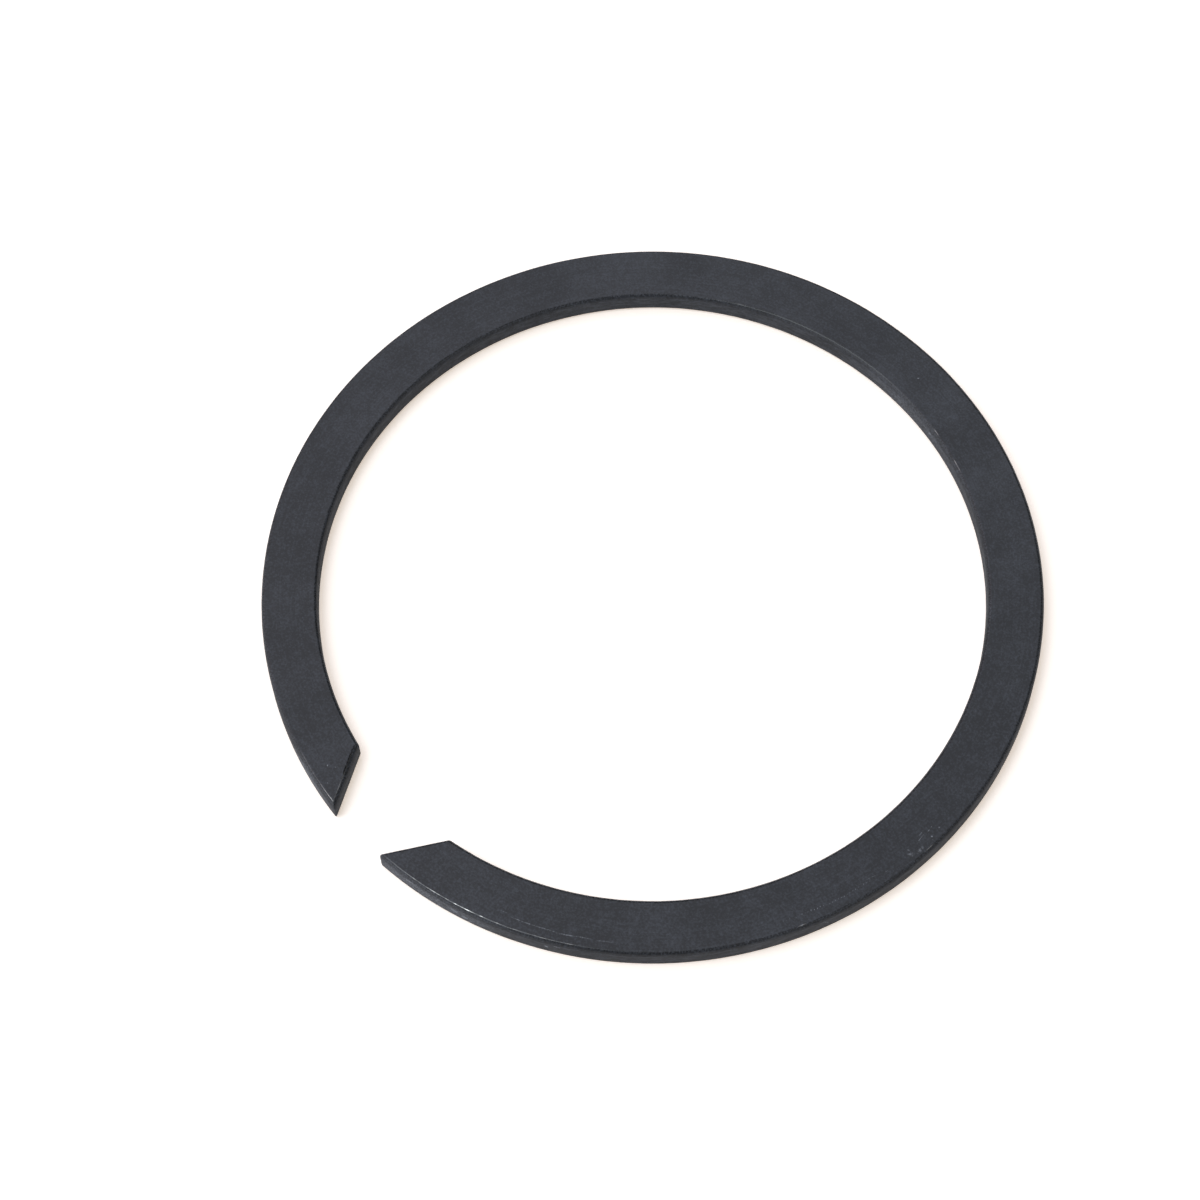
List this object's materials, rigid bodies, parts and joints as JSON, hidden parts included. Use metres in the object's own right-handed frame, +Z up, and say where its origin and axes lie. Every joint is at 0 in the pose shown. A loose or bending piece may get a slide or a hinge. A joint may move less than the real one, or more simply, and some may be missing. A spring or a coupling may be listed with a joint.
{
  "type": "retaining ring",
  "caption": "Open flat retaining ring of black spring steel that snaps into a groove round a shaft, with ends cut at a slant and rounded edges.",
  "frame": {"origin": "centre of the ring on its lower face", "axes": "+Z up, square to the flat ring and along the shaft; the gap between the ends faces -Y; +X to the right when seen from the gap's side"},
  "size_m": [0.0928, 0.0927, 0.003],
  "materials": {
    "blackened_spring_steel": "satin black oxide on spring steel, finely grained, with worn edges and light scuffs"
  },
  "bodies": {
    "root": {"retaining_ring": "blackened_spring_steel"}
  },
  "joints": []
}
